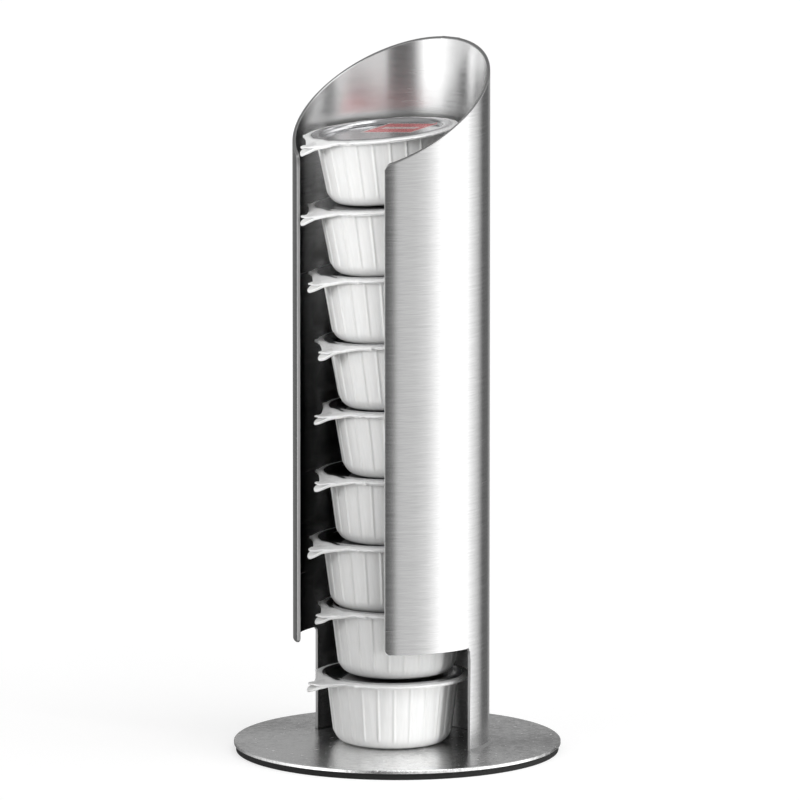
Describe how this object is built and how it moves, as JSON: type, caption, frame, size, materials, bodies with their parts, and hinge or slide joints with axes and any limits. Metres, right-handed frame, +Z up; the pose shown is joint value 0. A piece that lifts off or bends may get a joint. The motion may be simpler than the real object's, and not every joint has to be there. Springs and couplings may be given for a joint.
{
  "type": "creamer pod holder",
  "caption": "Counter-top creamer pod dispenser: a slotted steel tube with a slanted mouth on a round foam-padded base, holding a column of foil-lidded creamer cups.",
  "frame": {"origin": "middle of the foam pad's underside", "axes": "+Z up, -Y towards the front slot and the outlet, +X to the right seen from the front"},
  "size_m": [0.1, 0.1, 0.217],
  "materials": {
    "tube_steel": "stainless steel, brushed round the tube",
    "weld_steel": "cleaned weld bead",
    "plate_steel": "stainless steel, fine grain",
    "adhesive": "thin glue film",
    "pad_foam": "black cellular foam rubber",
    "cup_plastic": "white satin-gloss plastic",
    "lid_foil": "bright embossed foil",
    "cream_fill": "liquid cream"
  },
  "bodies": {
    "holder": {"dispenser_tube": "tube_steel", "foot_weld": "weld_steel", "base_plate": "plate_steel", "pad_adhesive": "adhesive", "anti_slip_pad": "pad_foam"},
    "pod_1": {"pod_1_cup": "cup_plastic", "pod_1_cream": "cream_fill", "pod_1_lid": "lid_foil"},
    "pod_2": {"pod_2_cup": "cup_plastic", "pod_2_cream": "cream_fill", "pod_2_lid": "lid_foil"},
    "pod_3": {"pod_3_cup": "cup_plastic", "pod_3_cream": "cream_fill", "pod_3_lid": "lid_foil"},
    "pod_4": {"pod_4_cup": "cup_plastic", "pod_4_cream": "cream_fill", "pod_4_lid": "lid_foil"},
    "pod_5": {"pod_5_cup": "cup_plastic", "pod_5_cream": "cream_fill", "pod_5_lid": "lid_foil"},
    "pod_6": {"pod_6_cup": "cup_plastic", "pod_6_cream": "cream_fill", "pod_6_lid": "lid_foil"},
    "pod_7": {"pod_7_cup": "cup_plastic", "pod_7_cream": "cream_fill", "pod_7_lid": "lid_foil"},
    "pod_8": {"pod_8_cup": "cup_plastic", "pod_8_cream": "cream_fill", "pod_8_lid": "lid_foil"},
    "pod_9": {"pod_9_cup": "cup_plastic", "pod_9_cream": "cream_fill"},
    "top_lid": {"pod_9_lid": "lid_foil"}
  },
  "joints": [
    {"name": "pod_1_out", "type": "slide", "parent": "holder", "child": "pod_1", "axis": [0, -1, 0], "range_m": [0, 0.054]},
    {"name": "pod_2_lift", "type": "slide", "parent": "holder", "child": "pod_2", "axis": [0, 0, 1], "range_m": [0, 0.021]},
    {"name": "pod_3_lift", "type": "slide", "parent": "pod_2", "child": "pod_3", "axis": [0, 0, 1], "range_m": [0, 0.021]},
    {"name": "pod_4_lift", "type": "slide", "parent": "pod_3", "child": "pod_4", "axis": [0, 0, 1], "range_m": [0, 0.021]},
    {"name": "pod_5_lift", "type": "slide", "parent": "pod_4", "child": "pod_5", "axis": [0, 0, 1], "range_m": [0, 0.021]},
    {"name": "pod_6_lift", "type": "slide", "parent": "pod_5", "child": "pod_6", "axis": [0, 0, 1], "range_m": [0, 0.021]},
    {"name": "pod_7_lift", "type": "slide", "parent": "pod_6", "child": "pod_7", "axis": [0, 0, 1], "range_m": [0, 0.021]},
    {"name": "pod_8_lift", "type": "slide", "parent": "pod_7", "child": "pod_8", "axis": [0, 0, 1], "range_m": [0, 0.021]},
    {"name": "pod_9_lift", "type": "slide", "parent": "pod_8", "child": "pod_9", "axis": [0, 0, 1], "range_m": [0, 0.048]},
    {"name": "top_lid_peel", "type": "hinge", "parent": "pod_9", "child": "top_lid", "pos_m": [0.00622, 0.01674, 0.19347], "axis": [-0.9227, 0.3829, -0.0439], "range_deg": [0, 65]}
  ]
}
